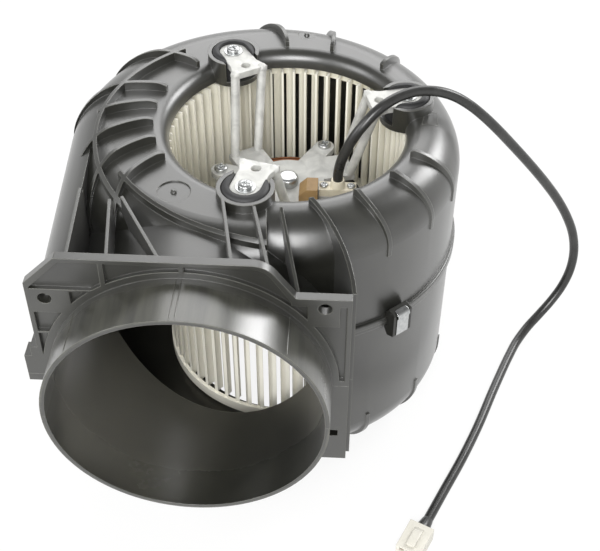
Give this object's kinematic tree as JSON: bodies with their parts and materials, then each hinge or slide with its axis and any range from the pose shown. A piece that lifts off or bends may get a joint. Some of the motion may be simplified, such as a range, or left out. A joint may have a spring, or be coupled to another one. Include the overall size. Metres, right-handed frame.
{
  "type": "centrifugal hood fan with motor",
  "caption": "Double-inlet centrifugal fan in a moulded scroll casing with a round outlet spigot, a central motor on a three-armed bracket and a loose cable.",
  "frame": {"origin": "centre of the outlet spigot's mouth, on the spigot axis and on the shells' parting plane", "axes": "-Y out of the spigot, +Z along the fan axis towards the inlet with the motor bracket, +X towards the fan axis"},
  "size_m": [0.3251, 0.2828, 0.2057],
  "materials": {
    "housing": "satin",
    "rubber": "matte",
    "bracket": "satin",
    "fan": "satin",
    "steel": "satin",
    "lamination": "satin",
    "bronze": "satin",
    "copper": "satin",
    "former": "satin",
    "clamp": "satin",
    "cable": "satin",
    "plug": "satin",
    "contact": "satin"
  },
  "bodies": {
    "housing": {"upper_housing": "housing", "lower_housing": "housing", "housing_clips": "housing", "rubber_mount_left": "rubber", "rubber_mount_front": "rubber", "rubber_mount_right": "rubber", "mount_screws": "steel", "mount_washers": "steel", "motor_bracket": "bracket", "bearing_cap": "bracket", "upper_bearing": "bronze", "lower_bearing": "bronze", "stator_core": "lamination", "upper_coil_former": "former", "lower_coil_former": "former", "upper_winding": "copper", "lower_winding": "copper", "lower_end_shield": "bracket", "motor_bolts": "steel", "motor_nuts": "steel", "terminal_block": "former", "cable_clamp": "clamp", "clamp_screws": "steel", "motor_cable": "cable", "cable_plug": "plug", "plug_contacts": "contact"},
    "fan": {"rotor_core": "lamination", "rotor_cage": "bracket", "motor_shaft": "steel", "thrust_washers": "clamp", "fan_wheel": "fan", "hub_bush": "bronze", "shaft_clip": "steel"}
  },
  "joints": [
    {"name": "fan_spin", "type": "hinge", "parent": "housing", "child": "fan", "pos_m": [0.0435, 0.161, 0], "axis": [0, 0, 1], "continuous": true}
  ]
}
